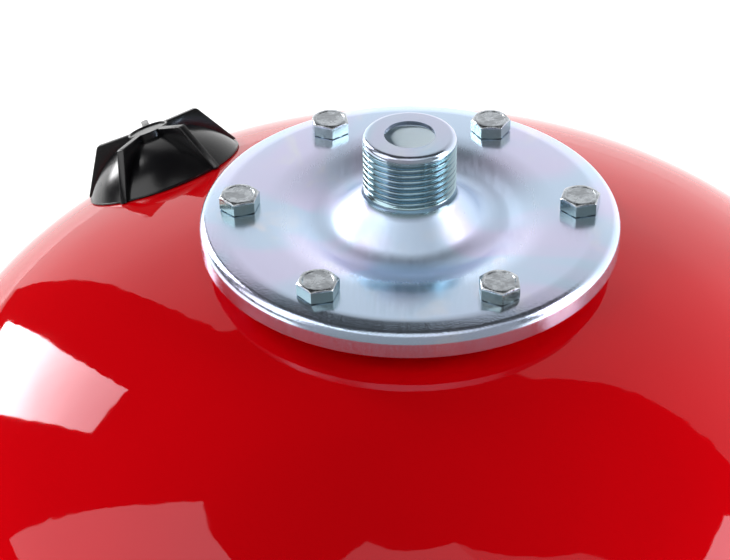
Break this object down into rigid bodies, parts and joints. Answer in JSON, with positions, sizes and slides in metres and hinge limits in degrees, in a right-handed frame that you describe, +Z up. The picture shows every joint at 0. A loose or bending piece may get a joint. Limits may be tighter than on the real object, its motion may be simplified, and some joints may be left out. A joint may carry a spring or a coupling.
{
  "type": "expansion tank",
  "caption": "Upright membrane expansion tank on legs, with a bolted top flange, threaded pipe neck and covered air valve.",
  "frame": {"origin": "on the floor under the tank's axis", "axes": "+Z up along the tank's axis, from the legs to the threaded neck; -Y is the side the picture was taken from"},
  "size_m": [0.3824, 0.3824, 0.6138],
  "materials": {
    "red_paint": "gloss",
    "zinc_plate": "satin",
    "zinc_screw": "satin",
    "black_plastic": "gloss",
    "brass": "satin",
    "bladder_rubber": "matte",
    "spring_steel": "satin"
  },
  "bodies": {
    "tank": {"upper_shell": "red_paint", "lower_shell": "red_paint", "girth_weld": "red_paint", "neck_ring": "red_paint", "membrane": "bladder_rubber", "connection_flange": "zinc_plate", "flange_bolts": "zinc_screw", "valve_boss": "red_paint", "valve_gasket": "bladder_rubber", "valve_stem": "brass", "valve_core": "brass", "valve_spring": "spring_steel", "leg_1": "red_paint", "leg_2": "red_paint", "leg_3": "red_paint"},
    "pin": {"valve_pin": "brass", "pin_seal": "bladder_rubber"},
    "cover": {"valve_cover": "black_plastic"}
  },
  "joints": [
    {"name": "cover_lift", "type": "slide", "parent": "tank", "child": "cover", "axis": [-0.3318, 0.2687, 0.9043], "range_m": [0, 0.045]},
    {"name": "valve_press", "type": "slide", "parent": "tank", "child": "pin", "axis": [0.3318, -0.2687, -0.9043], "range_m": [0, 0.0015], "stiffness_N_per_m": 1500, "springref_m": -0.002, "deforming": ["valve_spring"]}
  ]
}
